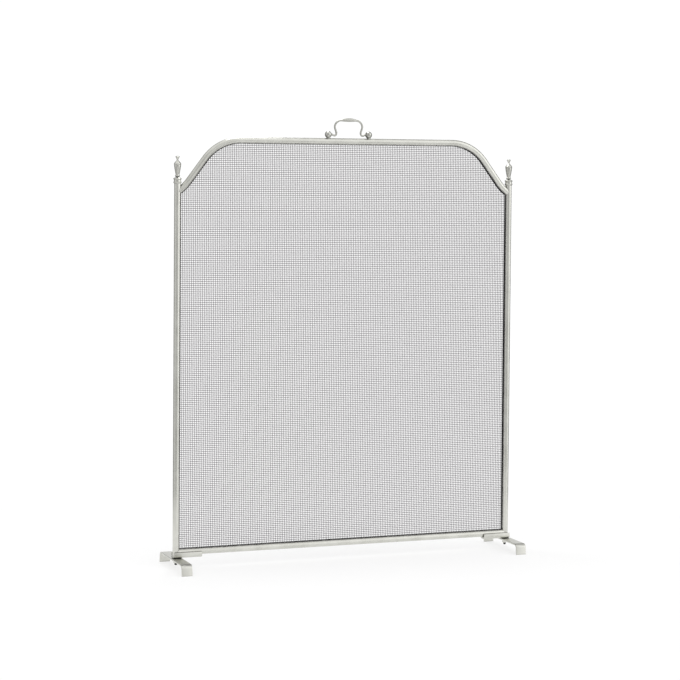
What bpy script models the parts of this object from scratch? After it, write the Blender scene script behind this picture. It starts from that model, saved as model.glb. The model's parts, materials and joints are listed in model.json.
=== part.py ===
"""Free-standing fireplace screen: a bent-tube frame with an arched top, a woven wire panel held by
a black inner frame, turned finials, a swinging bail handle, and two bolted flat-bar feet.

Metres, +Z up, front towards -Y, standing on z = 0 with the origin below its middle."""

from math import cos, pi, radians, sin, sqrt

import bmesh
import bpy
from mathutils import Matrix, Vector

# ---- driving dimensions ----------------------------------------------------------------------
GAP = 0.0003  # left between pieces that touch or are joined

TUBE_R = 0.006  # the frame's round tube
TUBE_WALL = 0.0012
POST_X = 0.330  # post axes at -POST_X and +POST_X
POST_BOTTOM_Z = 0.0244
POST_TOP_Z = 0.7072
BOTTOM_RAIL_Z = POST_BOTTOM_Z + TUBE_R
CROWN_Z = 0.787  # highest line of the top rail

CORNER_R = 0.084  # top rail's corner bend, at the tube's centre line
CORNER_X = 0.2106  # where the level crown ends and the corner bend starts
LEG_ANGLE = radians(53)  # slope of the slanted legs
FLARE_X = 0.309  # where the leg starts to bend back out towards the post
FLARE_R = 0.084
FLARE_END_ANGLE = radians(36)

BAR_THICK = 0.0005  # black inner frame: flat strip on edge
BAR_FRONT_Y = -0.0010
BAR_BACK_Y = 0.0046
PANEL_Y = 0.0056  # middle plane of the wire cloth
PANEL_THICK = 0.00032  # a sheet as heavy as the cloth
PANEL_OVERLAP = 0.0006  # how far the cloth runs out past the tube's inner line

FOOT_LENGTH = 0.150
FOOT_WIDTH = 0.020
FOOT_THICK = 0.003
FOOT_TOP_Z = 0.020
FOOT_BEND_R = 0.007  # at the bar's middle
FOOT_SPLAY = radians(7)  # the lips lean outwards

SADDLE_IN_X = 0.2825  # the saddle runs from here out to the post's far side
SADDLE_OUT_X = 0.3365
SADDLE_HALF_WIDTH = 0.0095
SADDLE_TOP_Z = 0.0304
SADDLE_CORNER_R = 0.0055

STUD_R = 0.0025  # foot stud, nut and washer
STUD_BOTTOM_Z = 0.0072
STUD_TOP_Z = 0.0390
WASHER_R = 0.0056
WASHER_THICK = 0.0010
NUT_ACROSS_FLATS = 0.0080
NUT_HEIGHT = 0.0045
INSERT_LENGTH = 0.018  # threaded plugs in the posts' ends

COLLAR_Z = 0.7013
COLLAR_R = 0.00765
COLLAR_HEIGHT = 0.0110
COLLAR_SOCKET = 0.0062
FINIAL_SHANK_R = 0.0020
FINIAL_SHANK_LENGTH = 0.022

HANDLE_X = 0.0402  # ball posts at -HANDLE_X and +HANDLE_X
HANDLE_AXIS_Z = 0.7938  # the bail's hinge axis
BALL_R = 0.0065
NECK_R = 0.0036
HANDLE_SHANK_R = 0.0020
HANDLE_INSERT_R = 0.0032
HANDLE_INSERT_LENGTH = 0.0072
WIRE_R = 0.0018
GRIP_R = 0.0035
GRIP_HALF_LENGTH = 0.0155
BAIL_END_X = 0.0415  # the wire's ends turn inside the balls

SIDES = {-1: "left", 1: "right"}

# ---- scene set-up ----------------------------------------------------------------------------


def clear_scene():
    for obj in list(bpy.data.objects):
        bpy.data.objects.remove(obj, do_unlink=True)


def collection(name):
    made = bpy.data.collections.new(name)
    bpy.context.scene.collection.children.link(made)
    return made


def metal(name, colour, roughness, metallic):
    made = bpy.data.materials.new(name)
    made.use_nodes = True
    shader = made.node_tree.nodes["Principled BSDF"]
    shader.inputs["Base Color"].default_value = (*colour, 1)
    shader.inputs["Roughness"].default_value = roughness
    shader.inputs["Metallic"].default_value = metallic
    return made


clear_scene()
SCREEN = collection("fireplace_screen")
CUTTERS = collection("cutters")
NICKEL = {"colour": (0.56, 0.55, 0.49), "roughness": 0.32, "metallic": 1.0}
BLACK = {"colour": (0.015, 0.015, 0.016), "roughness": 0.55, "metallic": 0.0}
CLOTH = {"colour": (0.06, 0.06, 0.065), "roughness": 0.5, "metallic": 0.6}
ZINC = {"colour": (0.45, 0.45, 0.46), "roughness": 0.4, "metallic": 1.0}
DARK = {"colour": (0.05, 0.05, 0.052), "roughness": 0.45, "metallic": 0.8}

# ---- making shapes ---------------------------------------------------------------------------


def place(name, data, look, group=None):
    """An object for data, in the screen's collection, with a material of its own."""
    obj = bpy.data.objects.new(name, data)
    (group or SCREEN).objects.link(obj)
    if look:
        obj.data.materials.append(metal(name + "_finish", **look))
    return obj


def to_mesh(obj):
    """Turns a curve object into a closed mesh object of the same name, place and material."""
    bpy.context.view_layer.update()
    graph = bpy.context.evaluated_depsgraph_get()
    mesh = bpy.data.meshes.new_from_object(obj.evaluated_get(graph))
    work = bmesh.new()
    work.from_mesh(mesh)
    bmesh.ops.remove_doubles(work, verts=work.verts, dist=1e-6)
    work.to_mesh(mesh)
    work.free()
    name, matrix, group = obj.name, obj.matrix_world.copy(), obj.users_collection[0]
    bpy.data.objects.remove(obj, do_unlink=True)
    made = bpy.data.objects.new(name, mesh)
    made.matrix_world = matrix
    group.objects.link(made)
    return made


def smooth(obj, angle=35):
    obj.data.shade_smooth()
    obj.data.set_sharp_from_angle(angle=radians(angle))


def wire(name, points, radius, look, resolution=4, radii=None, caps=True):
    """A round bar or tube along points, with one radius factor a point if radii are given."""
    curve = bpy.data.curves.new(name, "CURVE")
    curve.dimensions = "3D"
    curve.bevel_depth = radius
    curve.bevel_resolution = resolution
    curve.use_fill_caps = caps
    line = curve.splines.new("POLY")
    line.points.add(len(points) - 1)
    for i, point in enumerate(points):
        line.points[i].co = (*point, 1)
        line.points[i].radius = radii[i] if radii else 1
    return place(name, curve, look)


def plate(name, outline, thickness, look, matrix):
    """A flat outline of (u, v) points, extruded by half its thickness each way along local Z."""
    curve = bpy.data.curves.new(name, "CURVE")
    curve.dimensions = "2D"
    curve.fill_mode = "BOTH"
    curve.extrude = thickness / 2
    line = curve.splines.new("POLY")
    line.points.add(len(outline) - 1)
    for i, (u, v) in enumerate(outline):
        line.points[i].co = (u, v, 0, 1)
    line.use_cyclic_u = True
    obj = place(name, curve, look)
    obj.matrix_world = matrix
    return obj


def front_plane(y):
    """Local (u, v) become world (x, z) at this y."""
    return Matrix.Translation((0, y, 0)) @ Matrix.Rotation(pi / 2, 4, "X")


def side_plane(x):
    """Local (u, v) become world (y, z) at this x."""
    upright = Matrix.Rotation(pi / 2, 4, "Z") @ Matrix.Rotation(pi / 2, 4, "X")
    return Matrix.Translation((x, 0, 0)) @ upright


def cylinder(name, radius, low, high, look, segments=32, caps=True, group=None):
    """A cylinder, or a bare tube surface, from low to high."""
    work = bmesh.new()
    low, high = Vector(low), Vector(high)
    bmesh.ops.create_cone(work, cap_ends=caps, segments=segments, radius1=radius, radius2=radius,
                          depth=(high - low).length)
    mesh = bpy.data.meshes.new(name)
    work.to_mesh(mesh)
    work.free()
    obj = place(name, mesh, look, group)
    turn = (high - low).to_track_quat("Z", "Y").to_matrix().to_4x4()
    obj.matrix_world = Matrix.Translation((low + high) / 2) @ turn
    return obj


def cutter(name, radius, low, high, segments=32):
    obj = cylinder(name, radius, low, high, None, segments, group=CUTTERS)
    obj.hide_render = True
    obj.display_type = "WIRE"
    return obj


def cut(obj, tool, operation="DIFFERENCE"):
    step = obj.modifiers.new(tool.name, "BOOLEAN")
    step.operation = operation
    step.solver = "EXACT"
    step.object = tool


def hollow(obj):
    """Gives a bare tube surface its wall, inwards."""
    shell = obj.modifiers.new("wall", "SOLIDIFY")
    shell.thickness = TUBE_WALL
    shell.offset = -1


def turned(name, profile, place_at, look, segments=20, closed=False):
    """A solid of revolution. The (radius, height) profile runs down its outer side."""
    work = bmesh.new()
    dots = [work.verts.new((radius, 0, height)) for radius, height in profile]
    for a, b in zip(dots, dots[1:]):
        work.edges.new((a, b))
    if closed:
        work.edges.new((dots[-1], dots[0]))
    mesh = bpy.data.meshes.new(name)
    work.to_mesh(mesh)
    work.free()
    obj = place(name, mesh, look)
    obj.location = place_at
    spin = obj.modifiers.new("turn", "SCREW")
    spin.axis = "Z"
    spin.steps = spin.render_steps = segments
    spin.use_merge_vertices = True
    spin.merge_threshold = 0.00001
    spin.use_smooth_shade = True
    return obj


def bevel(obj, width, segments=2, angle=35):
    edge = obj.modifiers.new("edges", "BEVEL")
    edge.width = width
    edge.segments = segments
    edge.limit_method = "ANGLE"
    edge.angle_limit = radians(angle)


def arc(centre, radius, start, end, steps):
    """Points on an arc, from angle start to angle end in radians, both ends included."""
    turn = (end - start) / steps
    angles = [start + turn * i for i in range(steps + 1)]
    return [(centre[0] + radius * cos(a), centre[1] + radius * sin(a)) for a in angles]


# ---- the arch line ---------------------------------------------------------------------------


def arch_half(offset, steps=10):
    """Right half of the top rail's line in (x, z), from the crown's middle out to the post's axis,
    moved by offset across itself: outwards and up is positive."""
    crown = CROWN_Z - TUBE_R
    corner_centre = (CORNER_X, crown - CORNER_R)
    points = [(0.0, crown + offset)]
    points += arc(corner_centre, CORNER_R + offset, pi / 2, pi / 2 - LEG_ANGLE, steps)
    leg_x = CORNER_X + CORNER_R * sin(LEG_ANGLE)
    leg_z = crown - CORNER_R * (1 - cos(LEG_ANGLE))
    drop = (FLARE_X - leg_x) * sin(LEG_ANGLE) / cos(LEG_ANGLE)
    flare_start = Vector((FLARE_X, leg_z - drop))
    normal = Vector((sin(LEG_ANGLE), cos(LEG_ANGLE)))
    centre = flare_start + normal * FLARE_R
    first = pi / 2 - LEG_ANGLE + pi
    last = pi / 2 - FLARE_END_ANGLE + pi
    points += arc(centre, FLARE_R - offset, first, last, max(3, steps // 2))
    end = Vector(points[-1])
    run = POST_X - end.x
    slope = sin(FLARE_END_ANGLE) / cos(FLARE_END_ANGLE)
    points.append((POST_X, end.y - run * slope))
    return points


def clip_half(points, limit_x):
    """The part of a half line up to x = limit_x, ending exactly there."""
    kept = [points[0]]
    for (x0, z0), (x1, z1) in zip(points, points[1:]):
        if x1 >= limit_x:
            share = (limit_x - x0) / (x1 - x0)
            return kept + [(limit_x, z0 + (z1 - z0) * share)]
        kept.append((x1, z1))
    return kept


def mirrored(half):
    """The whole line from left to right, given its right half."""
    left = [(-x, z) for x, z in reversed(half) if x > 0]
    return left + [p for p in half if p[0] > 0]


# ---- the tube frame --------------------------------------------------------------------------


def posts():
    for side, word in SIDES.items():
        low, high = (side * POST_X, 0, POST_BOTTOM_Z), (side * POST_X, 0, POST_TOP_Z)
        post = cylinder(word + "_post", TUBE_R, low, high, NICKEL, caps=False)
        hollow(post)
        smooth(post)


def post_cutter(side):
    """The post's outside with its gap, which copes the ends of both rails."""
    name = SIDES[side] + "_cope"
    found = bpy.data.objects.get(name)
    if found:
        return found
    x = side * POST_X
    return cutter(name, TUBE_R + GAP, (x, 0, 0), (x, 0, 0.75), segments=40)


def coped_rail(name, line):
    """A hollow tube along (x, z) points from post to post, shaped to the posts at its ends."""
    rail = wire(name, [(x, 0, z) for x, z in line], TUBE_R, None, resolution=6, caps=False)
    rail = to_mesh(rail)
    rail.data.materials.append(metal(name + "_finish", **NICKEL))
    hollow(rail)
    for side in SIDES:
        cut(rail, post_cutter(side))
    smooth(rail)
    return rail


def rails():
    coped_rail("bottom_rail", [(-POST_X, BOTTOM_RAIL_Z), (POST_X, BOTTOM_RAIL_Z)])
    top = coped_rail("arched_top_rail", mirrored(arch_half(0)))
    for side, word in SIDES.items():
        x = side * HANDLE_X
        hole = cutter(word + "_handle_hole", HANDLE_INSERT_R + GAP,
                      (x, 0, CROWN_Z - TUBE_R), (x, 0, CROWN_Z + TUBE_R), segments=24)
        cut(top, hole)


def inner_frame():
    """Flat black bars on edge, lining the tubes all round. The arched one ends on the side ones."""
    depth, middle = BAR_BACK_Y - BAR_FRONT_Y, (BAR_BACK_Y + BAR_FRONT_Y) / 2
    outer = POST_X - TUBE_R - GAP
    inner = outer - BAR_THICK
    near, far = -(TUBE_R + GAP), -(TUBE_R + GAP + BAR_THICK)
    floor = BOTTOM_RAIL_Z + TUBE_R + GAP

    upper = mirrored(clip_half(arch_half(near), inner - GAP))
    lower = mirrored(clip_half(arch_half(far), inner - GAP))
    plate("top_inner_bar", upper + lower[::-1], depth, BLACK, front_plane(middle))

    under = arch_half(near)
    top_at_inner, top_at_outer = (clip_half(under, x)[-1][1] for x in (inner, outer))
    for side, word in SIDES.items():
        outline = [(side * inner, floor), (side * outer, floor), (side * outer, top_at_outer),
                   (side * inner, top_at_inner)]
        plate(word + "_inner_bar", outline[::side], depth, BLACK, front_plane(middle))

    reach = inner - GAP
    outline = [(-reach, floor), (reach, floor), (reach, floor + BAR_THICK),
               (-reach, floor + BAR_THICK)]
    plate("bottom_inner_bar", outline, depth, BLACK, front_plane(middle))


def wire_panel():
    """The woven cloth as a plain sheet of the same weight, against the bars' back edges."""
    edge = TUBE_R - PANEL_OVERLAP
    reach = POST_X - edge
    upper = mirrored(clip_half(arch_half(-edge), reach))
    outline = [(-reach, BOTTOM_RAIL_Z + edge), (reach, BOTTOM_RAIL_Z + edge)] + upper[::-1]
    plate("wire_panel", outline, PANEL_THICK, CLOTH, front_plane(PANEL_Y))


# ---- finials ---------------------------------------------------------------------------------


def collar_profile():
    """A ring that caps the post's end: two soft beads with a waist between, and a low shoulder."""
    radius, height, bore = COLLAR_R, COLLAR_HEIGHT, FINIAL_SHANK_R + GAP
    bead = height * 0.30
    outside = [(0.0036, height), (0.0046, height - 0.0002), (radius - 0.0014, height - 0.0008)]
    outside += arc((radius - 0.0012, height - 0.0008 - bead / 2), 0.0012, pi / 3, -pi / 3, 4)
    outside += [(radius - 0.0010, height * 0.56), (radius - 0.0010, height * 0.44)]
    outside += arc((radius - 0.0012, bead / 2 + 0.0006), 0.0012, pi / 3, -pi / 3, 4)
    outside += [(radius - 0.0010, 0.0)]
    socket = TUBE_R + GAP
    inside = [(socket, 0.0), (socket, COLLAR_SOCKET), (bore, COLLAR_SOCKET), (bore, height)]
    return outside + inside


def finial_profile():
    """An urn that widens upwards to a shoulder, a steep roof, a thin neck and a flared tip, with
    the threaded shank below it. Heights are above the collar's top."""
    tip = [(0.0, 0.0385), (0.0022, 0.0383), (0.0036, 0.0376), (0.0038, 0.0370), (0.0034, 0.0362),
           (0.0024, 0.0344), (0.0017, 0.0325)]
    neck = [(0.0015, 0.0314), (0.0017, 0.0306)]
    roof = [(0.0030, 0.0294), (0.0050, 0.0272), (0.0062, 0.0257)]
    shoulder = arc((0.0054, 0.0240), 0.0013, pi / 5, -pi / 8, 3)
    urn = [(0.0064, 0.0214), (0.0056, 0.0160), (0.0046, 0.0100), (0.0038, 0.0060),
           (0.0035, 0.0046)]
    foot = [(0.0042, 0.0036), (0.0047, 0.0026), (0.0044, 0.0016), (0.0034, 0.0008),
            (0.0034, 0.0)]
    shank = [(FINIAL_SHANK_R, 0.0), (FINIAL_SHANK_R, -FINIAL_SHANK_LENGTH + 0.0006),
             (FINIAL_SHANK_R - 0.0006, -FINIAL_SHANK_LENGTH), (0.0, -FINIAL_SHANK_LENGTH)]
    return tip + neck + roof + shoulder + urn + foot + shank


def ring(name, outer, bore, low, high, axis_x, look, segments=20):
    profile = [(outer, high - low), (outer, 0.0), (bore, 0.0), (bore, high - low)]
    turned(name, profile, (axis_x, 0, low), look, segments, closed=True)


def post_insert(name, axis_x, low, high, bore):
    """A threaded ring pressed into a post's end."""
    ring(name, TUBE_R - TUBE_WALL - GAP, bore, low, high, axis_x, ZINC)


def finials():
    collar_top = COLLAR_Z + COLLAR_HEIGHT
    for side, word in SIDES.items():
        x = side * POST_X
        turned(word + "_collar", collar_profile(), (x, 0, COLLAR_Z), NICKEL, closed=True)
        turned(word + "_finial", finial_profile(), (x, 0, collar_top + GAP), NICKEL)
        post_insert(word + "_finial_insert", x, POST_TOP_Z - INSERT_LENGTH, POST_TOP_Z - GAP,
                    FINIAL_SHANK_R + GAP)


# ---- feet ------------------------------------------------------------------------------------


def strip_outline(line, half):
    """A closed outline at a distance half on both sides of an open (u, v) line."""
    points = [Vector(p) for p in line]
    sides = ([], [])
    for i, here in enumerate(points):
        before, after = points[max(i - 1, 0)], points[min(i + 1, len(points) - 1)]
        along = (after - before).normalized()
        across = Vector((-along.y, along.x))
        if 0 < i < len(points) - 1:
            half_turn = (here - before).normalized().dot(across)
            stretch = 1 / sqrt(1 - half_turn * half_turn)
        else:
            stretch = 1
        sides[0].append(here + across * half * stretch)
        sides[1].append(here - across * half * stretch)
    return [tuple(p) for p in sides[0] + sides[1][::-1]]


def foot_line():
    """The flat bar's middle line in (y, z), from the back lip over the top to the front lip."""
    top = FOOT_TOP_Z - FOOT_THICK / 2
    turn = pi / 2 - FOOT_SPLAY
    end_y = FOOT_LENGTH / 2 - FOOT_THICK / 2 * cos(FOOT_SPLAY)
    lip = top - FOOT_BEND_R * (1 - cos(turn))
    start_y = end_y - lip * sin(FOOT_SPLAY) / cos(FOOT_SPLAY)
    centre_y = start_y - FOOT_BEND_R * sin(turn)
    front = arc((centre_y, top - FOOT_BEND_R), FOOT_BEND_R, pi / 2, FOOT_SPLAY, 7)
    half = front + [(end_y, 0.0)]
    return [(-y, z) for y, z in reversed(half)] + half


def feet():
    for side, word in SIDES.items():
        x = side * POST_X
        outline = strip_outline(foot_line(), FOOT_THICK / 2)
        outline = [(y, z if z > FOOT_THICK / 4 else 0.0) for y, z in outline]
        foot = to_mesh(plate(word + "_foot", outline[::-1], FOOT_WIDTH, None, side_plane(x)))
        foot.data.materials.append(metal(word + "_foot_finish", **NICKEL))
        hole = cutter(word + "_foot_hole", STUD_R + GAP, (x, 0, 0.005), (x, 0, 0.025), segments=24)
        bevel(foot, 0.0005)
        cut(foot, hole)
        smooth(foot)


def saddle_outline():
    """A U channel in (y, z): square groove for the rail and the post, outer corners rounded."""
    low, high = FOOT_TOP_Z + GAP, SADDLE_TOP_Z
    floor, wall = POST_BOTTOM_Z - GAP, TUBE_R + GAP
    half, radius = SADDLE_HALF_WIDTH, SADDLE_CORNER_R
    right = arc((half - radius, low + radius), radius, -pi / 2, 0, 5)
    left = arc((radius - half, low + radius), radius, pi, pi * 1.5, 5)
    return right + [(half, high), (wall, high), (wall, floor), (-wall, floor), (-wall, high),
                    (-half, high)] + left


def saddles():
    length, middle = SADDLE_OUT_X - SADDLE_IN_X, (SADDLE_OUT_X + SADDLE_IN_X) / 2
    for side, word in SIDES.items():
        x, name = side * POST_X, word + "_foot_saddle"
        saddle = to_mesh(plate(name, saddle_outline(), length, None, side_plane(side * middle)))
        saddle.data.materials.append(metal(name + "_finish", **NICKEL))
        hole = cutter(word + "_saddle_hole", STUD_R + GAP, (x, 0, 0.018), (x, 0, 0.028), segments=24)
        bevel(saddle, 0.0007)
        cut(saddle, hole)
        smooth(saddle)


def foot_fasteners():
    underside = FOOT_TOP_Z - FOOT_THICK - GAP
    nut_top = underside - WASHER_THICK - GAP
    corner = NUT_ACROSS_FLATS / 2 / cos(pi / 6)
    for side, word in SIDES.items():
        x = side * POST_X
        stud = cylinder(word + "_foot_stud", STUD_R, (x, 0, STUD_BOTTOM_Z), (x, 0, STUD_TOP_Z),
                        DARK, segments=20)
        bevel(stud, 0.0005, segments=1)
        smooth(stud)
        ring(word + "_foot_washer", WASHER_R, STUD_R + GAP, underside - WASHER_THICK, underside, x,
             NICKEL, segments=24)
        nut = cylinder(word + "_foot_nut", corner, (x, 0, nut_top - NUT_HEIGHT), (x, 0, nut_top),
                       NICKEL, segments=6)
        cut(nut, cutter(word + "_nut_bore", STUD_R + GAP, (x, 0, nut_top - NUT_HEIGHT - 0.002),
                        (x, 0, nut_top + 0.002), segments=20))
        post_insert(word + "_foot_insert", x, POST_BOTTOM_Z + GAP, POST_BOTTOM_Z + INSERT_LENGTH,
                    STUD_R + GAP)


# ---- the bail handle -------------------------------------------------------------------------


def ball_profile():
    """The ball and its short neck, which runs down into the rail's outline and is coped to it."""
    join = sqrt(BALL_R**2 - NECK_R**2)
    start = -pi / 2 + radians(33)
    ball = [(BALL_R * cos(a), BALL_R * sin(a))
            for a in (pi / 2 - (pi / 2 - start) * i / 14 for i in range(15))]
    ball[0] = (0.0, BALL_R)
    neck_bottom = CROWN_Z - HANDLE_AXIS_Z - 0.002
    return ball + [(NECK_R, -join - 0.0003), (NECK_R, neck_bottom), (0.0, neck_bottom)]


def handle_posts():
    rail_axis = CROWN_Z - TUBE_R
    cope = cutter("rail_cope", TUBE_R + GAP, (-0.06, 0, rail_axis), (0.06, 0, rail_axis), 40)
    for side, word in SIDES.items():
        x = side * HANDLE_X
        post = turned(word + "_handle_post", ball_profile(), (x, 0, HANDLE_AXIS_Z), NICKEL)
        cut(post, cope)
        shank_low = CROWN_Z - HANDLE_INSERT_LENGTH
        shank = cutter(word + "_handle_shank", HANDLE_SHANK_R, (x, 0, shank_low),
                       (x, 0, HANDLE_AXIS_Z - 0.004), segments=20)
        cut(post, shank, "UNION")
        inner = side * (HANDLE_X - BALL_R - 0.002)
        bore = cutter(word + "_bail_bore", WIRE_R + GAP, (inner, 0, HANDLE_AXIS_Z),
                      (side * (BAIL_END_X + GAP), 0, HANDLE_AXIS_Z), segments=24)
        cut(post, bore)
        ring(word + "_handle_insert", HANDLE_INSERT_R, HANDLE_SHANK_R + GAP,
             CROWN_Z - 0.0002 - HANDLE_INSERT_LENGTH, CROWN_Z - 0.0005, x, ZINC)


def smooth_line(points, steps):
    """A smooth curve through points (Catmull-Rom), with steps pieces between each pair."""
    ends = [2 * points[0] - points[1]] + points + [2 * points[-1] - points[-2]]
    line = []
    for a, b, c, d in zip(ends, ends[1:], ends[2:], ends[3:]):
        for i in range(steps):
            t = i / steps
            line.append(0.5 * (2 * b + (c - a) * t + (2 * a - 5 * b + 4 * c - d) * t**2
                               + (3 * b - a - 3 * c + d) * t**3))
    return line + [points[-1]]


def bail_half():
    """Right half of the bail's middle line, from the grip's middle to its end in the ball, as
    (x, height above the hinge axis)."""
    bends = [(0.0, 0.0273), (0.0075, 0.0271), (0.0145, 0.0265), (0.0205, 0.0249), (0.0253, 0.0207),
             (0.0273, 0.0150), (0.0262, 0.0098), (0.0246, 0.0052), (0.0243, 0.0016),
             (0.0262, -0.0014), (0.0293, -0.0016), (0.0320, -0.0002)]
    run = smooth_line([Vector(p) for p in bends], 2)
    return run + [Vector((0.0334, 0.0)), Vector((BAIL_END_X, 0.0))]


def bail():
    half = bail_half()
    line = [Vector((-p.x, p.y)) for p in reversed(half[1:])] + half
    swell = (GRIP_R - WIRE_R) / WIRE_R
    radii = []
    for p in line:
        share = min(abs(p.x) / GRIP_HALF_LENGTH, 1)
        radii.append(1 + swell * (1 - share**2) if p.y > 0.02 else 1)
    handle = wire("bail_handle", [(p.x, 0, p.y) for p in line], WIRE_R, NICKEL, 3, radii)
    handle.location = (0, 0, HANDLE_AXIS_Z)


# ---- the whole screen ------------------------------------------------------------------------

posts()
rails()
inner_frame()
wire_panel()
finials()
feet()
saddles()
foot_fasteners()
handle_posts()
bail()
bpy.context.view_layer.update()
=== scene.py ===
"""The looks of the fireplace screen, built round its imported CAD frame.

Metres, +Z up, front towards -Y. Each visible piece is made again in fine detail, in the place and
size of the CAD node it stands for; only the threaded inserts inside the tubes stay CAD nodes."""

import json
from math import cos, pi, radians, sin, sqrt, tan

import bmesh
import bpy
import numpy as np
from mathutils import Matrix, Vector


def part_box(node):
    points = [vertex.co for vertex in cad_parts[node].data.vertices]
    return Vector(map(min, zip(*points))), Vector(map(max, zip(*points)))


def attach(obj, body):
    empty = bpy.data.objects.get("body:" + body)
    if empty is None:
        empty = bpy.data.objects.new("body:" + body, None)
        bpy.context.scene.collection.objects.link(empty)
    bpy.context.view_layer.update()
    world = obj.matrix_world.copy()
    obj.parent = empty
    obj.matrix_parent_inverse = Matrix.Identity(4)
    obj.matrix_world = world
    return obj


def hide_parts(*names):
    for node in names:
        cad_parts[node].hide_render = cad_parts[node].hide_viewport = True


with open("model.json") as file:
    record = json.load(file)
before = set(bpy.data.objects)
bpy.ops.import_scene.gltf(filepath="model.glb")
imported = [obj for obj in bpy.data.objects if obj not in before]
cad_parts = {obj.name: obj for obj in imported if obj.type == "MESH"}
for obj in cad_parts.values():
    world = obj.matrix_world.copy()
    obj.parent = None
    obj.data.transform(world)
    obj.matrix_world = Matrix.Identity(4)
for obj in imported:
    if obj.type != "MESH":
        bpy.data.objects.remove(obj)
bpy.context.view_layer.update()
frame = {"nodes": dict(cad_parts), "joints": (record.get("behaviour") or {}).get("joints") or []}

# ---- sizes -----------------------------------------------------------------------------------

GAP = 0.0003  # left between pieces that touch
X, Y, Z = np.eye(3)
SIDES = {-1: "left", 1: "right"}
SHARP = radians(38)  # edges that turn further than this are shaded sharp, and bevelled if asked


def span(node):
    """A node's lowest corner, highest corner and middle."""
    low, high = (np.array(corner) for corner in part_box(node))
    return low, high, (low + high) / 2


post_low, post_high, post_middle = span("right_post")
_, rail_high, _ = span("arched_top_rail")
sill_low, _, sill_middle = span("bottom_rail")
bar_low, bar_high, _ = span("right_inner_bar")
sill_bar_low, sill_bar_high, _ = span("bottom_inner_bar")
cloth_low, cloth_high, cloth_middle = span("wire_panel")
POST_X = post_middle[0]
TUBE_R = (post_high[0] - post_low[0]) / 2
TUBE_WALL = 0.0012
CROWN = rail_high[2] - TUBE_R  # the top rail's axis along the level crown
BAR_THICK = bar_high[0] - bar_low[0]
HINGE_Z = frame["joints"][0]["pos_m"][2]  # the line that the bail turns on

# The top rail's line: a level crown, a corner bend, a slanted leg and a slight bend back out.
CORNER_R = 0.084
CORNER_X = 0.2106
LEG_ANGLE = radians(53)
FLARE_X = 0.309
FLARE_R = 0.084
FLARE_END_ANGLE = radians(36)

# The woven cloth.
PITCH = 0.0035
WIRE_R = 0.000425

# The turned parts, the feet and what holds them.
FINIAL_SHANK_R = 0.0020
COLLAR_SOCKET = 0.0062
FOOT_THICK = 0.003
FOOT_BEND_R = 0.007
FOOT_SPLAY = radians(7)
SADDLE_CORNER_R = 0.0055
STUD_HOLE_R = 0.0028
THREAD_PITCH = 0.0008
THREAD_DEPTH = 0.00035

# The bail handle.
HANDLE_X = 0.0402
NECK_R = 0.0036
HANDLE_SHANK_R = 0.0020
BORE_R = 0.0021
BORE_END_X = 0.0418
BAIL_R = 0.0018
GRIP_HALF = 0.0155

# Grain: noise cells a metre along and across the streaks.
ALONG = 18.0
ACROSS = 1400.0

# The room that the metal mirrors: what lies in each direction, how many degrees from there it is
# whole and where it has faded out, and how bright it is.
ROOM = 0.55
BACKDROP = 1.03
PANELS = (((0, 0, 1), 22, 68, 1.10),  # ceiling
          ((0.45, 0.89, 0.05), 42, 75, 0.12),  # dark wall behind
          ((0.36, 0.92, 0.18), 12, 30, 0.95),  # backdrop, low behind
          ((-0.75, 0.65, 0), 12, 40, 0.45),  # grey wall at the left
          ((0, -0.75, -0.65), 8, 32, 1.15),  # the floor in front, past the disc
          ((0.72, -0.64, 0.30), 18, 38, 1.75),  # softbox
          ((-0.97, -0.22, 0.10), 8, 28, 0.95),  # tall softbox at the left
          ((0.35, -0.90, 0.22), 8, 20, 1.1))  # small softbox
FLOOR_R = 0.9

# ---- lines and sections ----------------------------------------------------------------------


def arc(centre, radius, start, end, steps):
    angles = np.linspace(start, end, steps + 1)
    return [(centre[0] + radius * cos(a), centre[1] + radius * sin(a)) for a in angles]


def smooth_line(points, steps):
    """A smooth curve through points (Catmull-Rom), with steps pieces between each pair."""
    points = [np.array(p, float) for p in points]
    ends = [2 * points[0] - points[1]] + points + [2 * points[-1] - points[-2]]
    line = []
    for a, b, c, d in zip(ends, ends[1:], ends[2:], ends[3:]):
        for t in np.arange(steps) / steps:
            line.append(0.5 * (2 * b + (c - a) * t + (2 * a - 5 * b + 4 * c - d) * t**2
                               + (3 * b - a - 3 * c + d) * t**3))
    return line + [points[-1]]


def arch_half(offset):
    """Right half of the top rail's line in (x, z), moved up across itself by offset."""
    points = [(x, CROWN + offset) for x in np.linspace(0.0, CORNER_X, 8)[:-1]]
    points += arc((CORNER_X, CROWN - CORNER_R), CORNER_R + offset, pi / 2, pi / 2 - LEG_ANGLE, 26)
    leg_x, leg_z = CORNER_X + CORNER_R * sin(LEG_ANGLE), CROWN - CORNER_R * (1 - cos(LEG_ANGLE))
    flare_z = leg_z - (FLARE_X - leg_x) * tan(LEG_ANGLE)
    centre = (FLARE_X + FLARE_R * sin(LEG_ANGLE), flare_z + FLARE_R * cos(LEG_ANGLE))
    points += arc(centre, FLARE_R - offset, 1.5 * pi - LEG_ANGLE, 1.5 * pi - FLARE_END_ANGLE, 10)
    end_x, end_z = points[-1]
    return points + [(POST_X, end_z - (POST_X - end_x) * tan(FLARE_END_ANGLE))]


def arch(offset):
    """The whole line from left to right, as points in 3D."""
    half = arch_half(offset)
    flat = [(-x, z) for x, z in half[:0:-1]] + half
    return np.array([(x, 0.0, z) for x, z in flat])


def arch_height(x, offset):
    """How high the arch line is at x."""
    half = np.array(arch_half(offset))
    return np.interp(np.abs(x), half[:, 0], half[:, 1])


def round_section(radius, sides=48):
    angles = np.arange(sides) * 2 * pi / sides
    return np.stack([radius * np.cos(angles), radius * np.sin(angles)], -1)


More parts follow.
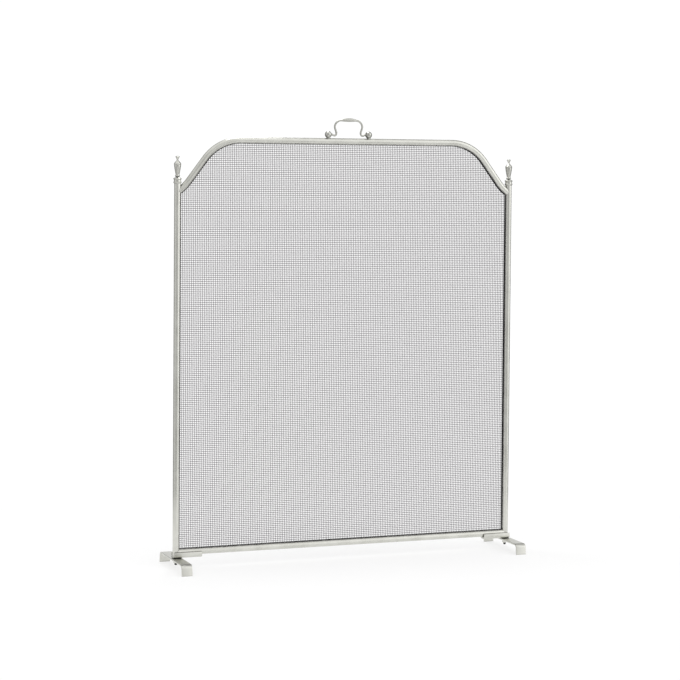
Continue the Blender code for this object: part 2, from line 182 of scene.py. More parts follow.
def bar_section(thick, wide, edge):
    """A flat bar with rounded edges, thick across the line and wide beside it."""
    corners = ((1, 1), (-1, 1), (-1, -1), (1, -1))
    points = []
    for i, (a, b) in enumerate(corners):
        centre = (a * (thick / 2 - edge), b * (wide / 2 - edge))
        points += arc(centre, edge, i * pi / 2, (i + 1) * pi / 2, 4)
    return np.array(points)


# ---- building bodies from rings of points ----------------------------------------------------


def swept(line, section, side, scale=None):
    """Rings of the (across, beside) section along a line in the plane that side is normal to, and
    the same rings unrolled as (along, across, beside), for the grain."""
    line, side = np.array(line, float), np.array(side, float)
    steps = np.diff(line, axis=0)
    lengths = np.linalg.norm(steps, axis=1)
    steps /= lengths[:, None]
    tangents = np.vstack([steps[:1], steps[:-1] + steps[1:], steps[-1:]])
    tangents /= np.linalg.norm(tangents, axis=1)[:, None]
    across = np.cross(side, tangents)
    scale = np.ones(len(line)) if scale is None else np.array(scale)
    sized = section[None] * scale[:, None, None]
    rings = line[:, None] + sized[..., :1] * across[:, None] + sized[..., 1:] * side
    along = np.concatenate([[0.0], np.cumsum(lengths)])
    unrolled = np.dstack([np.broadcast_to(along[:, None], sized.shape[:2]), sized])
    return rings, unrolled


def spun(profile, centre, sides=64):
    """Rings of a (radius, height) profile turned about the vertical through centre."""
    profile = np.array(profile, float)
    circle = np.zeros((sides, 3))
    circle[:, :2] = round_section(1.0, sides)
    return profile[:, :1, None] * circle + profile[:, 1:, None] * Z + np.array(centre)


def stopped(rings, limit):
    """Cuts swept rings short at both ends, each point where its x reaches limit(y) from 0."""
    cut = rings.copy()
    middle = len(rings) // 2
    for k in range(rings.shape[1]):
        goal = limit(rings[middle, k, 1])
        for order in (range(middle, len(rings)), range(middle, -1, -1)):
            order = list(order)
            beyond = [n for n, i in enumerate(order) if abs(rings[i, k, 0]) > goal]
            if not beyond:
                continue
            first = beyond[0]
            inside, outside = rings[order[first - 1], k], rings[order[first], k]
            share = (goal - abs(inside[0])) / (abs(outside[0]) - abs(inside[0]))
            for i in order[first:]:
                cut[i, k] = inside + share * (outside - inside)
    return cut


def post_face(y):
    """How far out a rail's surface runs before it meets the post, with the gap."""
    return POST_X - sqrt((TUBE_R + GAP)**2 - y * y)


def solid(name, rings, grain, look, cad_node=None, body="screen", wrap=False, turned=False):
    """A closed body lofted through rings, which stands for a CAD node. wrap joins the last ring to
    the first, as in a pipe; otherwise both ends get caps. grain is (along, across, across). The UV
    map's u runs across the brushing: round a drawn piece, and along a turned one."""
    count, sides = rings.shape[:2]
    work = bmesh.new()
    grain_layer = work.verts.layers.float_vector.new("grain")
    brushing = work.loops.layers.uv.new("brushing")
    dots = []
    for point, streak in zip(rings.reshape(-1, 3), grain.reshape(-1, 3)):
        dot = work.verts.new(point)
        dot[grain_layer] = Vector(streak)
        dots.append(dot)
    for i in range(count if wrap else count - 1):
        here, there = i * sides, (i + 1) % count * sides
        for k in range(sides):
            n = (k + 1) % sides
            corners = (here + k, here + n, there + n, there + k)
            face = work.faces.new([dots[corner] for corner in corners])
            for loop, (step, turn) in zip(face.loops, ((0, 0), (0, 1), (1, 1), (1, 0))):
                steps, turns = (i + step) / count, (k + turn) / sides
                loop[brushing].uv = (steps, turns) if turned else (turns, steps)
    if not wrap:
        for rim in (dots[:sides], dots[-sides:]):
            for k, loop in enumerate(work.faces.new(rim).loops):
                loop[brushing].uv = (cos(2 * pi * k / sides), sin(2 * pi * k / sides))
    bmesh.ops.remove_doubles(work, verts=work.verts, dist=1e-7)
    bmesh.ops.dissolve_degenerate(work, edges=work.edges, dist=1e-7)
    bmesh.ops.recalc_face_normals(work, faces=work.faces)
    mesh = bpy.data.meshes.new(name)
    work.to_mesh(mesh)
    work.free()
    return shown(name, mesh, look, cad_node, body)


def placed(name, data):
    """A new object in the scene."""
    obj = bpy.data.objects.new(name, data)
    bpy.context.scene.collection.objects.link(obj)
    return obj


def shown(name, mesh, look, cad_node=None, body="screen"):
    """Puts a mesh in the scene with its finish, on its body, in place of its CAD node."""
    mesh.shade_smooth()
    mesh.set_sharp_from_angle(angle=SHARP)
    obj = placed(name, mesh)
    mesh.materials.append(look)
    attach(obj, body)
    if cad_node:
        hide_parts(cad_node)
    return obj


def pipe(name, rings_out, grain_out, rings_in, look, cad_node):
    """A hollow tube, from its outer and inner rings."""
    rings = np.concatenate([rings_out, rings_in[::-1]])
    grain = np.concatenate([grain_out, grain_out[::-1]])
    return solid(name, rings, grain, look, cad_node, wrap=True)


def settle(obj, *steps):
    """Applies modifiers, given as (kind, settings), to a piece's own mesh."""
    for kind, settings in steps:
        step = obj.modifiers.new(kind, kind)
        for key, value in settings.items():
            setattr(step, key, value)
    graph = bpy.context.evaluated_depsgraph_get()
    made = bpy.data.meshes.new_from_object(obj.evaluated_get(graph))
    obj.modifiers.clear()
    obj.data = made
    made.shade_smooth()
    made.set_sharp_from_angle(angle=SHARP)


def carve(obj, tool):
    """Takes a tool's shape out of a piece, and the tool out of the scene."""
    bpy.context.view_layer.update()
    settle(obj, ("BOOLEAN", {"operation": "DIFFERENCE", "solver": "EXACT", "object": tool}))
    bpy.data.objects.remove(tool)


def drill(obj, x, radius, low, high):
    """Bores a round vertical hole through a piece."""
    work = bmesh.new()
    bmesh.ops.create_cone(work, cap_ends=True, segments=40, radius1=radius, radius2=radius,
                          depth=high - low)
    mesh = bpy.data.meshes.new("drill")
    work.to_mesh(mesh)
    work.free()
    tool = placed("drill", mesh)
    tool.location = (x, 0, (low + high) / 2)
    carve(obj, tool)


# ---- finishes --------------------------------------------------------------------------------


def node(tree, kind, settings=None, out=0, **inputs):
    """Adds a shader node and returns its output named out. An input is a value or another node's
    output; its name's spaces are underscores."""
    made = tree.nodes.new("ShaderNode" + kind)
    for key, value in (settings or {}).items():
        setattr(made, key, value)
    for key, value in inputs.items():
        socket = made.inputs[key.replace("_", " ")]
        if isinstance(value, bpy.types.NodeSocket):
            tree.links.new(value, socket)
        else:
            socket.default_value = value
    return made.outputs[out]


def finish(name, slot, metallic, **fixed):
    """A new material with its Principled shader's fixed values set; returns it, its tree and its
    shader."""
    made = bpy.data.materials.new(name)
    made.use_nodes = True
    made["slot"] = slot
    shader = made.node_tree.nodes["Principled BSDF"]
    shader.inputs["Metallic"].default_value = metallic
    for key, value in fixed.items():
        shader.inputs[key.replace("_", " ")].default_value = value
    return made, made.node_tree, shader


def blend_colours(tree, share, first, second):
    return node(tree, "MixRGB", Fac=share, Color1=(*first, 1), Color2=(*second, 1))


def blend_values(tree, share, first, second):
    return node(tree, "Mix", Factor=share, A=first, B=second)


def ranged(tree, value, low, high, start=0.0, end=1.0):
    """Maps a value from low..high to start..end."""
    return node(tree, "MapRange", Value=value, From_Min=low, From_Max=high, To_Min=start,
                To_Max=end)


def bump(tree, shader, height, strength, distance):
    tree.links.new(node(tree, "Bump", Strength=strength, Distance=distance, Height=height),
                   shader.inputs["Normal"])


def crevice_grime_and_shade(tree, colour, grime_and_shade, reach, amount):
    """Darkens a colour towards a dark grime colour where another surface stands closer than reach,
    as in corners: partly grime, partly painted shade.
    """
    open_sky = node(tree, "AmbientOcclusion", {"samples": 8}, "AO", Distance=reach)
    return node(tree, "MixRGB", Fac=ranged(tree, open_sky, 0.45, 0.92, amount, 0.0), Color1=colour,
                Color2=(*grime_and_shade, 1))


def brushed(name, slot, dark, light, rough_low, rough_high, spread, streak_depth, reach, grime_and_shade):
    """Plated metal with fine streaks along its grain, soft cloudy patches, brighter worn edges, and
    grime with painted shade darkening its joints. Its gloss spreads across the brushing, by spread."""
    made, tree, shader = finish(name, slot, 1.0, Anisotropic=spread)
    tree.links.new(node(tree, "Tangent", {"direction_type": "UV_MAP", "uv_map": "brushing"}),
                   shader.inputs["Tangent"])
    grain = node(tree, "Attribute", {"attribute_name": "grain"}, "Vector")
    place = node(tree, "TexCoord", out="Object")
    streaks = node(tree, "TexNoise", Vector=grain, Scale=1.0, Detail=3.0, Roughness=0.6)
    clouds = node(tree, "TexNoise", Vector=place, Scale=38.0, Detail=3.0, Roughness=0.55)
    specks = node(tree, "TexNoise", Vector=place, Scale=1500.0, Detail=2.0)
    mixed = blend_values(tree, 0.31, clouds, streaks)
    colour = blend_colours(tree, ranged(tree, mixed, 0.35, 0.65), dark, light)
    edges = node(tree, "NewGeometry", out="Pointiness")
    worn = node(tree, "MixRGB", Fac=ranged(tree, edges, 0.53, 0.62, 0.0, 0.3), Color1=colour,
                Color2=(0.78, 0.77, 0.73, 1))
    # painted shade and grime: the colour darkens where nearby surfaces would shade it
    grimy_and_shaded = crevice_grime_and_shade(tree, worn, (0.05, 0.05, 0.045), reach, grime_and_shade)
    tree.links.new(grimy_and_shaded, shader.inputs["Base Color"])
    tree.links.new(ranged(tree, mixed, 0.35, 0.65, rough_low, rough_high),
                   shader.inputs["Roughness"])
    bump(tree, shader, blend_values(tree, 0.35, streaks, specks), streak_depth, 0.0002)
    return made


def coated(name, slot, dark, light, bare):
    """Black powder coat: a fine orange-peel surface, dusty patches and rubbed edges."""
    made, tree, shader = finish(name, slot, 0.0, Specular_IOR_Level=0.25)
    place = node(tree, "TexCoord", out="Object")
    peel = node(tree, "TexNoise", Vector=place, Scale=900.0, Detail=3.0)
    patches = node(tree, "TexNoise", Vector=place, Scale=30.0, Detail=4.0, Roughness=0.6)
    colour = blend_colours(tree, ranged(tree, patches, 0.35, 0.7), dark, light)
    edges = node(tree, "NewGeometry", out="Pointiness")
    rubbed = node(tree, "MixRGB", Fac=ranged(tree, edges, 0.53, 0.65, 0.0, 0.5), Color1=colour,
                  Color2=(*bare, 1))
    tree.links.new(rubbed, shader.inputs["Base Color"])
    tree.links.new(ranged(tree, patches, 0.3, 0.7, 0.42, 0.62), shader.inputs["Roughness"])
    bump(tree, shader, peel, 0.25, 0.0003)
    return made


NICKEL_DARK, NICKEL_LIGHT = (0.59, 0.59, 0.545), (0.71, 0.71, 0.662)
WORN_DARK, WORN_LIGHT = (0.47, 0.47, 0.435), (0.58, 0.58, 0.54)
# The last value of each finish is how strongly it paints shade and grime into its joints.
TUBE = brushed("satin_nickel_tube", "satin_nickel", NICKEL_DARK, NICKEL_LIGHT, rough_low=0.24,
               rough_high=0.34, spread=0.8, streak_depth=0.10, reach=0.0025, grime_and_shade=0.8)
NICKEL = brushed("satin_nickel_strip", "satin_nickel", NICKEL_DARK, NICKEL_LIGHT, rough_low=0.28,
                 rough_high=0.38, spread=0.8, streak_depth=0.10, reach=0.003, grime_and_shade=0.25)
TURNED = brushed("satin_nickel_turned", "satin_nickel", NICKEL_DARK, NICKEL_LIGHT, rough_low=0.18,
                 rough_high=0.27, spread=0.3, streak_depth=0.06, reach=0.004, grime_and_shade=0.95)
WIRE = brushed("satin_nickel_wire", "satin_nickel", WORN_DARK, WORN_LIGHT, rough_low=0.38,
               rough_high=0.46, spread=0.6, streak_depth=0.06, reach=0.002, grime_and_shade=0.8)
# a wide reach, so that painted shade darkens the neck under each ball
BALL = brushed("satin_nickel_ball", "satin_nickel", WORN_DARK, WORN_LIGHT, rough_low=0.18,
               rough_high=0.27, spread=0.3, streak_depth=0.06, reach=0.010, grime_and_shade=1.0)
ZINC = brushed("zinc_finish", "zinc_insert", (0.40, 0.41, 0.43), (0.52, 0.53, 0.55),
               rough_low=0.30, rough_high=0.45, spread=0.2, streak_depth=0.10, reach=0.002,
               grime_and_shade=0.5)
STUD = brushed("stud_finish", "dark_stud", (0.05, 0.05, 0.052), (0.10, 0.10, 0.10),
               rough_low=0.35, rough_high=0.50, spread=0.2, streak_depth=0.20, reach=0.002,
               grime_and_shade=0.5)
BLACK = coated("black_bar_finish", "black_bar", dark=(0.012, 0.012, 0.013),
               light=(0.03, 0.03, 0.031), bare=(0.30, 0.30, 0.29))
CLOTH = coated("wire_cloth_finish", "wire_cloth", dark=(0.050, 0.030, 0.047),
               light=(0.095, 0.066, 0.090), bare=(0.16, 0.16, 0.17))

def streaked(points, along_axis):
    """Grain for streaks that run along one axis."""
    stretch = np.full(3, ACROSS)
    stretch[along_axis] = ALONG
    return points * stretch


def ringed(points):
    """Grain for a turned piece, whose streaks run round it."""
    return points * np.array([ALONG, ALONG, ACROSS]) * 2


def unrolled_grain(unrolled):
    return unrolled * np.array([ALONG, ACROSS, ACROSS])


# ---- the tube frame --------------------------------------------------------------------------


def posts():
    for side, word in SIDES.items():
        x = side * POST_X
        line = [(x, 0, z) for z in np.linspace(post_low[2], post_high[2], 12)]
        outer, grain = swept(line, round_section(TUBE_R), Y)
        inner, _ = swept(line, round_section(TUBE_R - TUBE_WALL), Y)
        pipe(word + "_post_tube", outer, unrolled_grain(grain), inner, TUBE, word + "_post")


def rail(name, line, cad_node):
    """A tube from post to post, its ends shaped to the posts."""
    outer, grain = swept(line, round_section(TUBE_R), Y)
    inner, _ = swept(line, round_section(TUBE_R - TUBE_WALL), Y)
    pipe(name, stopped(outer, post_face), unrolled_grain(grain), stopped(inner, post_face), TUBE,
         cad_node)


def rails():
    sill_z = sill_middle[2]
    sill = [(x, 0, sill_z) for x in np.linspace(-POST_X, POST_X, 25)]
    rail("bottom_rail_tube", sill, "bottom_rail")
    rail("top_rail_tube", arch(0), "arched_top_rail")


def inner_frame():
    """The black flat bars that line the tubes."""
    depth, edge = bar_high[1] - bar_low[1], 0.4 * BAR_THICK
    middle = (bar_high[1] + bar_low[1]) / 2
    section = bar_section(BAR_THICK, depth, edge)
    reach = sill_bar_high[0]
    line = arch(-(TUBE_R + GAP + BAR_THICK / 2)) + middle * Y
    rings, grain = swept(line, section, Y)
    solid("top_liner_bar", stopped(rings, lambda y: reach), unrolled_grain(grain), BLACK,
          "top_inner_bar")
    z = (sill_bar_low[2] + sill_bar_high[2]) / 2
    rings, grain = swept([(x, middle, z) for x in np.linspace(-reach, reach, 9)], section, Y)
    solid("bottom_liner_bar", rings, unrolled_grain(grain), BLACK, "bottom_inner_bar")
    for side, word in SIDES.items():
        x = side * (bar_low[0] + bar_high[0]) / 2
        line = [(x, middle, z) for z in np.linspace(bar_low[2], bar_high[2] - 0.002, 9)]
        rings, grain = swept(line, section, Y)
        rings[-1, :, 2] = arch_height(rings[-1, :, 0], -(TUBE_R + GAP))
        solid(word + "_liner_bar", rings, unrolled_grain(grain), BLACK, word + "_inner_bar")


# ---- the woven cloth -------------------------------------------------------------------------


def cloth_top(x):
    """The cloth's upper edge, behind the top rail's lower side."""
    return arch_height(x, cloth_high[2] - CROWN)


def cloth_reach(z):
    """How far out the cloth runs at height z."""
    half = np.array(arch_half(cloth_high[2] - CROWN))[::-1]
    return min(cloth_high[0], np.interp(z, half[:, 1], half[:, 0]))


def cloth_wire(start, end, crossings, place, lift):
    """A bent wire's points as (along, y): it goes over and under at each crossing, and its ends are
    straight. lift is +1 or -1 at the first crossing."""
    inside = [n for n, at in enumerate(crossings) if start + WIRE_R < at < end - WIRE_R]
    along = [start] + [crossings[n] for n in inside] + [end]
    sway = [lift * (1 if n % 2 else -1) for n in inside]
    sway = [sway[0]] + sway + [sway[-1]] if sway else [lift, lift]
    return np.array([along, place + WIRE_R * np.array(sway)]).T


def cloth_piece(name, wires, upright):
    """One mesh of many four-sided wires. Each is (position across, its points as (along, y))."""
    points, faces, base = [], [], 0
    for at, line in wires:
        count = len(line)
        ring = np.zeros((count, 4, 3))
        across_axis, along_axis = (0, 2) if upright else (2, 0)
        ring[:, :, along_axis] = line[:, :1]
        ring[:, :, across_axis] = at
        ring[:, :, 1] = line[:, 1:]
        ring[:, 0, across_axis] += WIRE_R
        ring[:, 1, 1] += WIRE_R
        ring[:, 2, across_axis] -= WIRE_R
        ring[:, 3, 1] -= WIRE_R
        points.append(ring.reshape(-1, 3))
        start = base + 4 * np.arange(count - 1)[:, None] + np.arange(4)
        turn = base + 4 * np.arange(count - 1)[:, None] + (np.arange(4) + 1) % 4
        sides = np.stack([start, turn, turn + 4, start + 4], -1).reshape(-1, 4)
        caps = base + np.array([[3, 2, 1, 0], [0, 1, 2, 3]]) + np.array([[0], [4 * (count - 1)]])
        faces += [sides, caps] if upright else [sides[:, ::-1], caps[:, ::-1]]
        base += 4 * count
    points, faces = np.concatenate(points), np.concatenate(faces)
    mesh = bpy.data.meshes.new(name)
    mesh.vertices.add(len(points))
    mesh.vertices.foreach_set("co", points.astype(np.float32).ravel())
    mesh.loops.add(faces.size)
    mesh.loops.foreach_set("vertex_index", faces.astype(np.int32).ravel())
    mesh.polygons.add(len(faces))
    mesh.polygons.foreach_set("loop_start", np.arange(0, faces.size, 4, dtype=np.int32))
    mesh.update(calc_edges=True)
    mesh.validate()
    return shown(name, mesh, CLOTH)


def evenly(low, high):
    """Wire positions from low to high at the pitch, evenly set about the middle."""
    count = int((high - low) / PITCH)
    return (low + high) / 2 + PITCH * (np.arange(count + 1) - count / 2)


def woven_cloth():
    """Plain-woven wire cloth: every wire passes over one crossing wire and under the next."""
    inset = 2 * WIRE_R + PITCH / 2
    columns = evenly(cloth_low[0] + inset, cloth_high[0] - inset)
    rows = evenly(cloth_low[2] + inset, cloth_high[2] - inset)
    y = cloth_middle[1]
    uprights, crosswires = [], []
    for j, x in enumerate(columns):
        line = cloth_wire(cloth_low[2], cloth_top(x), rows, y, 1 if j % 2 else -1)
        uprights.append((x, line))
    for i, z in enumerate(rows):
        reach = cloth_reach(z)
        line = cloth_wire(-reach, reach, columns, y, -1 if i % 2 else 1)
        crosswires.append((z, line))
    half, level = len(uprights) // 2, len(crosswires) // 2
    pieces = [cloth_piece("cloth_uprights_left", uprights[:half], True),
              cloth_piece("cloth_uprights_right", uprights[half:], True),
              cloth_piece("cloth_crosswires_low", crosswires[:level], False),
              cloth_piece("cloth_crosswires_high", crosswires[level:], False)]
    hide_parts("wire_panel")


# ---- finials ---------------------------------------------------------------------------------


def collar_profile(height, radius, bore, socket):
    """A ring with two soft beads and a waist, from its top's inner edge round to the bore."""
    bead = height * 0.30
    outside = [(bore + 0.0012, height), (0.0044, height - 0.0001),
               (radius - 0.0014, height - 0.0007)]
    outside += arc((radius - 0.0012, height - 0.0008 - bead / 2), 0.0012, pi / 2.4, -pi / 2.4, 12)
    outside += [(radius - 0.0011, height * 0.56), (radius - 0.0011, height * 0.44)]
    outside += arc((radius - 0.0012, bead / 2 + 0.0006), 0.0012, pi / 2.4, -pi / 2.4, 12)
    outside += [(radius - 0.0012, 0.0)]
    inside = [(TUBE_R + GAP, 0.0), (TUBE_R + GAP, socket), (bore, socket), (bore, height)]
    return outside + inside


def finial_profile():
    """A flared tip, a thin neck, a steep roof, an urn and a beaded foot, above the collar."""
    tip = [(0.0, 0.0385), (0.0014, 0.03845), (0.0027, 0.0381), (0.0036, 0.0375), (0.0038, 0.0369),
           (0.0034, 0.0361), (0.0024, 0.0344), (0.0017, 0.0326), (0.0015, 0.0315),
           (0.0018, 0.0306), (0.0030, 0.0292), (0.0049, 0.0271), (0.0060, 0.0257)]
    shoulder = arc((0.0054, 0.0240), 0.0013, pi / 4, -pi / 6, 8)
    urn = [(0.0064, 0.0222), (0.0061, 0.0190), (0.0054, 0.0145), (0.0045, 0.0095), (0.0038, 0.0061),
           (0.0035, 0.0047)]
    foot = arc((0.0035, 0.0026), 0.0012, pi / 2.6, -pi / 2.6, 10)
    return smooth_line(tip, 4) + shoulder + smooth_line(urn, 4) + foot + [(0.0034, 0.0)]


def finials():
    for side, word in SIDES.items():
        x = side * POST_X
        low, high, _ = span(word + "_collar")
        profile = collar_profile(high[2] - low[2], (high[0] - low[0]) / 2, FINIAL_SHANK_R + GAP,
                                 COLLAR_SOCKET)
        rings = spun(profile, (x, 0, low[2]))
        solid(word + "_collar_ring", rings, ringed(rings), TURNED, word + "_collar", wrap=True,
              turned=True)
        bottom, top, _ = span(word + "_finial")
        base = high[2] + GAP
        shank = [(FINIAL_SHANK_R, 0.0), (FINIAL_SHANK_R, bottom[2] - base + 0.0006),
                 (FINIAL_SHANK_R - 0.0006, bottom[2] - base), (0.0, bottom[2] - base)]
        rings = spun(finial_profile() + shank, (x, 0, base))
        rings[..., 2] = np.minimum(rings[..., 2], top[2])
        solid(word + "_turned_finial", rings, ringed(rings), TURNED, word + "_finial", turned=True)


# ---- feet ------------------------------------------------------------------------------------


def foot_line(length, top):
    """The flat bar's middle line in (y, z), from the back lip over the top to the front lip."""
    middle, turn = top - FOOT_THICK / 2, pi / 2 - FOOT_SPLAY
    end_y = length / 2 - FOOT_THICK / 2 * cos(FOOT_SPLAY)
    lip = middle - FOOT_BEND_R * (1 - cos(turn))
    centre_y = end_y - lip * tan(FOOT_SPLAY) - FOOT_BEND_R * sin(turn)
    bend = arc((centre_y, middle - FOOT_BEND_R), FOOT_BEND_R, pi / 2, FOOT_SPLAY, 16)
    flat = [(y, middle) for y in np.linspace(0.0, centre_y, 8)[:-1]]
    half = flat + bend + [(end_y, 0.0)]
    return [(-y, z) for y, z in half[:0:-1]] + half


def feet():
    """Flat bars from front to back, their ends bent down to the floor."""
    for word in SIDES.values():
        low, high, middle = span(word + "_foot")
        x = middle[0]
        line = [(x, y, z) for y, z in foot_line(high[1] - low[1], high[2])]
        rings, _ = swept(line, bar_section(FOOT_THICK, high[0] - low[0], 0.0006), X)
        rings[[0, -1], :, 2] = 0.0
        grain = rings * np.array([ACROSS, ALONG, ALONG])
        foot = solid(word + "_foot_bar", rings, grain, NICKEL, word + "_foot")
        drill(foot, x, STUD_HOLE_R, high[2] - FOOT_THICK - 0.002, high[2] + 0.002)


def saddles():
    """U channels that carry the bottom rail's ends and the posts, over the feet."""
    for side, word in SIDES.items():
        low, high, _ = span(word + "_foot_saddle")
        half, bottom, top, radius = high[1], low[2], high[2], SADDLE_CORNER_R
        bed, wall = sill_low[2] - GAP, TUBE_R + GAP
        right = arc((half - radius, bottom + radius), radius, -pi / 2, 0, 12)
        left = arc((radius - half, bottom + radius), radius, pi, pi * 1.5, 12)
        outline = right + [(half, top), (wall, top), (wall, bed), (-wall, bed), (-wall, top),
                           (-half, top)] + left
        rings = np.array([[(x, y, z) for y, z in outline] for x in (low[0], high[0])])
        saddle = solid(word + "_saddle_channel", rings, streaked(rings, 0), NICKEL,
                       word + "_foot_saddle")
        settle(saddle, ("BEVEL", {"width": 0.0006, "segments": 3, "limit_method": "ANGLE",
                                  "angle_limit": SHARP}))
        drill(saddle, side * POST_X, STUD_HOLE_R, bottom - 0.002, bed + 0.002)


def thread_depth(z, angle):
    """0 on a screw thread's crest and 1 in its root."""
    phase = (z / THREAD_PITCH - angle / (2 * pi)) % 1.0
    return np.abs(2 * phase - 1)


def fasteners():
    """Threaded studs up into the posts, with a washer and a chamfered nut under each foot."""
    sides = 48
    angles = np.arange(sides) * 2 * pi / sides
    for side, word in SIDES.items():
        x = side * POST_X
        low, high, _ = span(word + "_foot_stud")
        radius, chamfer = (high[0] - low[0]) / 2, 0.0005
        heights = np.arange(low[2], high[2], THREAD_PITCH / 6)
        rings = spun([(radius, z) for z in heights], (x, 0, 0), sides)
        depth = THREAD_DEPTH * thread_depth(heights[:, None], angles[None])
        end = np.minimum(heights - low[2], heights[-1] - heights)
        cone = np.minimum(end, chamfer)[:, None] - chamfer
        reach = radius + np.minimum(-depth, cone)
        rings[..., 0] = x + reach * np.cos(angles)
        rings[..., 1] = reach * np.sin(angles)
        solid(word + "_threaded_stud", rings, ringed(rings), STUD, word + "_foot_stud",
              turned=True)

        low, high, _ = span(word + "_foot_washer")
        outer, bore, edge = (high[0] - low[0]) / 2, radius + GAP, 0.0002
        tall = high[2] - low[2]
        profile = [(bore, tall), (outer - edge, tall), (outer, tall - edge), (outer, edge),
                   (outer - edge, 0.0), (bore, 0.0)]
        rings = spun(profile, (x, 0, low[2]))
        solid(word + "_washer", rings, ringed(rings), TURNED, word + "_foot_washer", wrap=True,
              turned=True)

        low, high, _ = span(word + "_foot_nut")
        flats, tall = high[0] - low[0], high[2] - low[2]
        hexagon = flats / 2 / np.cos((angles + pi / 6) % (pi / 3) - pi / 6)
        corner = flats / 2 / cos(pi / 6)
        profile = [(bore, tall), (bore + 0.0004, tall)]
        profile += [(corner, z) for z in np.linspace(tall, 0.0, 12)]
        profile += [(bore + 0.0004, 0.0), (bore, 0.0)]
        rings = spun(profile, (x, 0, low[2]), sides)
        for i, (reach, z) in enumerate(profile):
            cone = flats / 2 * 0.96 + min(z, tall - z) * tan(radians(60))
            if reach == corner:
                outline = np.minimum(hexagon, cone)
                rings[i, :, 0] = x + outline * np.cos(angles)
                rings[i, :, 1] = outline * np.sin(angles)
        solid(word + "_hex_nut", rings, streaked(rings, 2), NICKEL, word + "_foot_nut", wrap=True)


# ---- the bail handle -------------------------------------------------------------------------


def handle_posts():
    """A ball on a short neck, coped to the crown, with a bore that the bail's end turns in."""
    for side, word in SIDES.items():
        low, high, _ = span(word + "_handle_post")
        ball_r, bottom, crown = high[2] - HINGE_Z, low[2] - HINGE_Z, CROWN - HINGE_Z
        ball = arc((0.0, 0.0), ball_r, pi / 2, radians(-57), 24)
        ball[0] = (0.0, ball_r)
        join = -sqrt(ball_r**2 - NECK_R**2)
        neck = [(NECK_R, z) for z in np.linspace(join - 0.0003, crown + 0.004, 4)]
        shank = [(HANDLE_SHANK_R, crown + 0.003), (HANDLE_SHANK_R, bottom), (0.0, bottom)]
        rings = spun(ball + neck + shank, (side * HANDLE_X, 0, HINGE_Z))
        for i in range(len(ball), len(ball) + len(neck)):
            seat = CROWN + np.sqrt((TUBE_R + GAP)**2 - rings[i, :, 1]**2)
            rings[i, :, 2] = np.maximum(rings[i, :, 2], seat)
        post = solid(word + "_ball_post", rings, ringed(rings), BALL, word + "_handle_post",
                     turned=True)
        bore_line = [(side * x, 0, HINGE_Z) for x in (HANDLE_X - ball_r - 0.002, BORE_END_X)]
        bore, grain = swept(bore_line, round_section(BORE_R, 40), Y)
        carve(post, solid("bore", bore, grain, BALL))


def bail():
    """The swinging handle: one bent wire with a swelling at the grip."""
    _, high, _ = span("bail_handle")
    bends = [(0.0, 0.0273), (0.0075, 0.0271), (0.0145, 0.0265), (0.0205, 0.0249), (0.0253, 0.0207),
             (0.0273, 0.0150), (0.0262, 0.0098), (0.0246, 0.0052), (0.0243, 0.0016),
             (0.0262, -0.0014), (0.0293, -0.0016), (0.0320, -0.0002)]
    half = smooth_line(bends, 8) + [(0.0334, 0.0), (0.0375, 0.0), (high[0], 0.0)]
    flat = [(-x, z) for x, z in half[:0:-1]] + half
    swell = (high[1] - BAIL_R) / BAIL_R
    scale = [1 + swell * (1 - min(abs(x) / GRIP_HALF, 1)**2) if z > 0.02 else 1 for x, z in flat]
    line = [(x, 0, HINGE_Z + z) for x, z in flat]
    rings, grain = swept(line, round_section(BAIL_R, 32), Y, scale)
    rings[..., 2] = np.minimum(rings[..., 2], high[2])
    solid("bail_wire", rings, unrolled_grain(grain), WIRE, "bail_handle", body="bail")


# ---- inserts, floor, light and camera --------------------------------------------------------


def inserts():
    """The threaded plugs inside the tubes stay CAD nodes and get their zinc finish."""
    for name, obj in frame["nodes"].items():
        if name.endswith("_insert"):
            obj.data.materials.clear()
            obj.data.materials.append(ZINC)


def floor():
    """A plain pale disc. It glows a little, so that it shows as white as the backdrop."""
    made, tree, shader = finish("floor_paint", "floor", 0.0, Roughness=0.9, Specular_IOR_Level=0.1,
                                Emission_Strength=0.65, Emission_Color=(1.0, 1.0, 1.0, 1.0))
    place = node(tree, "TexCoord", out="Object")
    mottle = node(tree, "TexNoise", Vector=place, Scale=2.0, Detail=3.0)
    tree.links.new(blend_colours(tree, mottle, (0.34, 0.34, 0.34), (0.36, 0.36, 0.36)),
                   shader.inputs["Base Color"])
    work = bmesh.new()
    bmesh.ops.create_circle(work, cap_ends=True, segments=96, radius=FLOOR_R)
    mesh = bpy.data.meshes.new("floor")
    work.to_mesh(mesh)
    work.free()
    mesh.materials.append(made)
    placed("floor", mesh)


def area_light(name, place, aim, wide, tall, power):
    lamp = bpy.data.lights.new(name, "AREA")
    lamp.shape, lamp.size, lamp.size_y, lamp.energy = "RECTANGLE", wide, tall, power
    obj = placed(name, lamp)
    obj.location = place
    obj.rotation_mode = "QUATERNION"
    obj.rotation_quaternion = (Vector(aim) - Vector(place)).to_track_quat("-Z", "Y")
    return obj


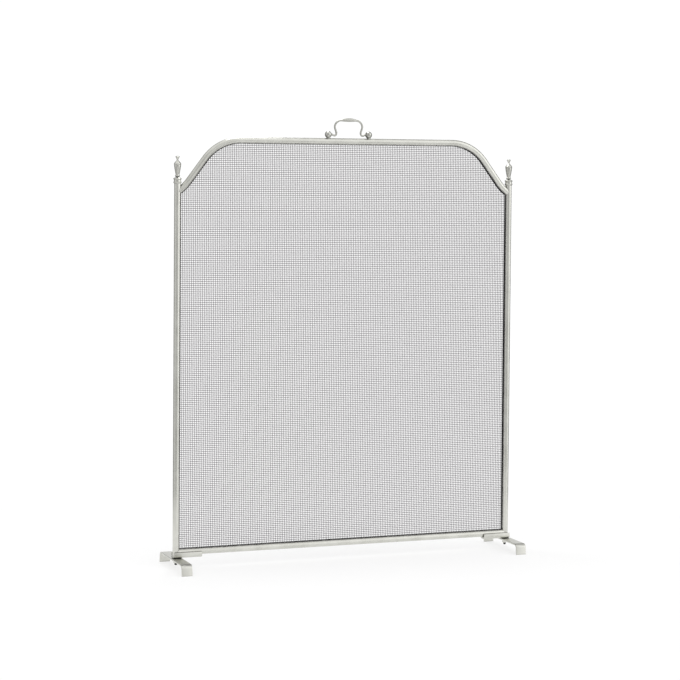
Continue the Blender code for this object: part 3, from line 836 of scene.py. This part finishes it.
def studio():
    """The surroundings as mirrored in the metal. The backdrop itself shows plain white."""
    world = bpy.data.worlds.new("studio")
    bpy.context.scene.world = world
    world.use_nodes = True
    tree = world.node_tree
    facing = node(tree, "TexCoord", out="Generated")
    level = ROOM
    for direction, whole, gone, brightness in PANELS:
        near = node(tree, "VectorMath", {"operation": "DOT_PRODUCT"}, "Value", Vector=facing)
        near.node.inputs[1].default_value = Vector(direction).normalized()
        share = ranged(tree, near, cos(radians(gone)), cos(radians(whole)))
        level = blend_values(tree, share, level, brightness)
    seen = node(tree, "LightPath", out="Is Camera Ray")
    background = tree.nodes["Background"]
    tree.links.new(blend_values(tree, seen, level, BACKDROP), background.inputs["Strength"])
    background.inputs["Color"].default_value = (1.0, 1.0, 1.0, 1.0)


def light():
    studio()
    strip = area_light("strip_above_bend", place=(-0.06, 0.28, 1.58), aim=(-0.20, 0.0, 0.79),
                       wide=0.32, tall=0.42, power=2.8)
    strip.visible_camera = False
    sun = bpy.data.lights.new("ceiling_glow", "SUN")
    sun.energy, sun.angle, sun.use_shadow = 0.6, radians(110), False
    placed("ceiling_glow", sun).visible_glossy = False
    bpy.context.scene.view_settings.view_transform = "Standard"


def camera():
    """A long lens at the front left, about as high as the screen's shoulders, almost level."""
    azimuth, pitch, roll = radians(-20.68), radians(2.37), radians(0.45)
    target, distance = Vector((-0.0150, 0.0, 0.5634)), 3.771
    back = Vector((sin(azimuth) * cos(pitch), -cos(azimuth) * cos(pitch), sin(pitch)))
    right = Vector((cos(azimuth), sin(azimuth), 0.0))
    up = back.cross(right)
    turned_right = right * cos(roll) + up * sin(roll)
    turned_up = up * cos(roll) - right * sin(roll)
    lens = bpy.data.cameras.new("camera")
    lens.sensor_width, lens.lens, lens.shift_y = 36.0, 107.07, -0.12
    lens.clip_start, lens.clip_end = 0.1, 100.0
    obj = placed("camera", lens)
    turn = Matrix((turned_right, turned_up, back)).transposed().to_4x4()
    obj.matrix_world = Matrix.Translation(target + back * distance) @ turn
    bpy.context.scene.camera = obj


# ---- the whole scene -------------------------------------------------------------------------

camera()
light()
floor()
posts()
rails()
inner_frame()
woven_cloth()
finials()
feet()
saddles()
fasteners()
handle_posts()
bail()
inserts()
bpy.context.view_layer.update()
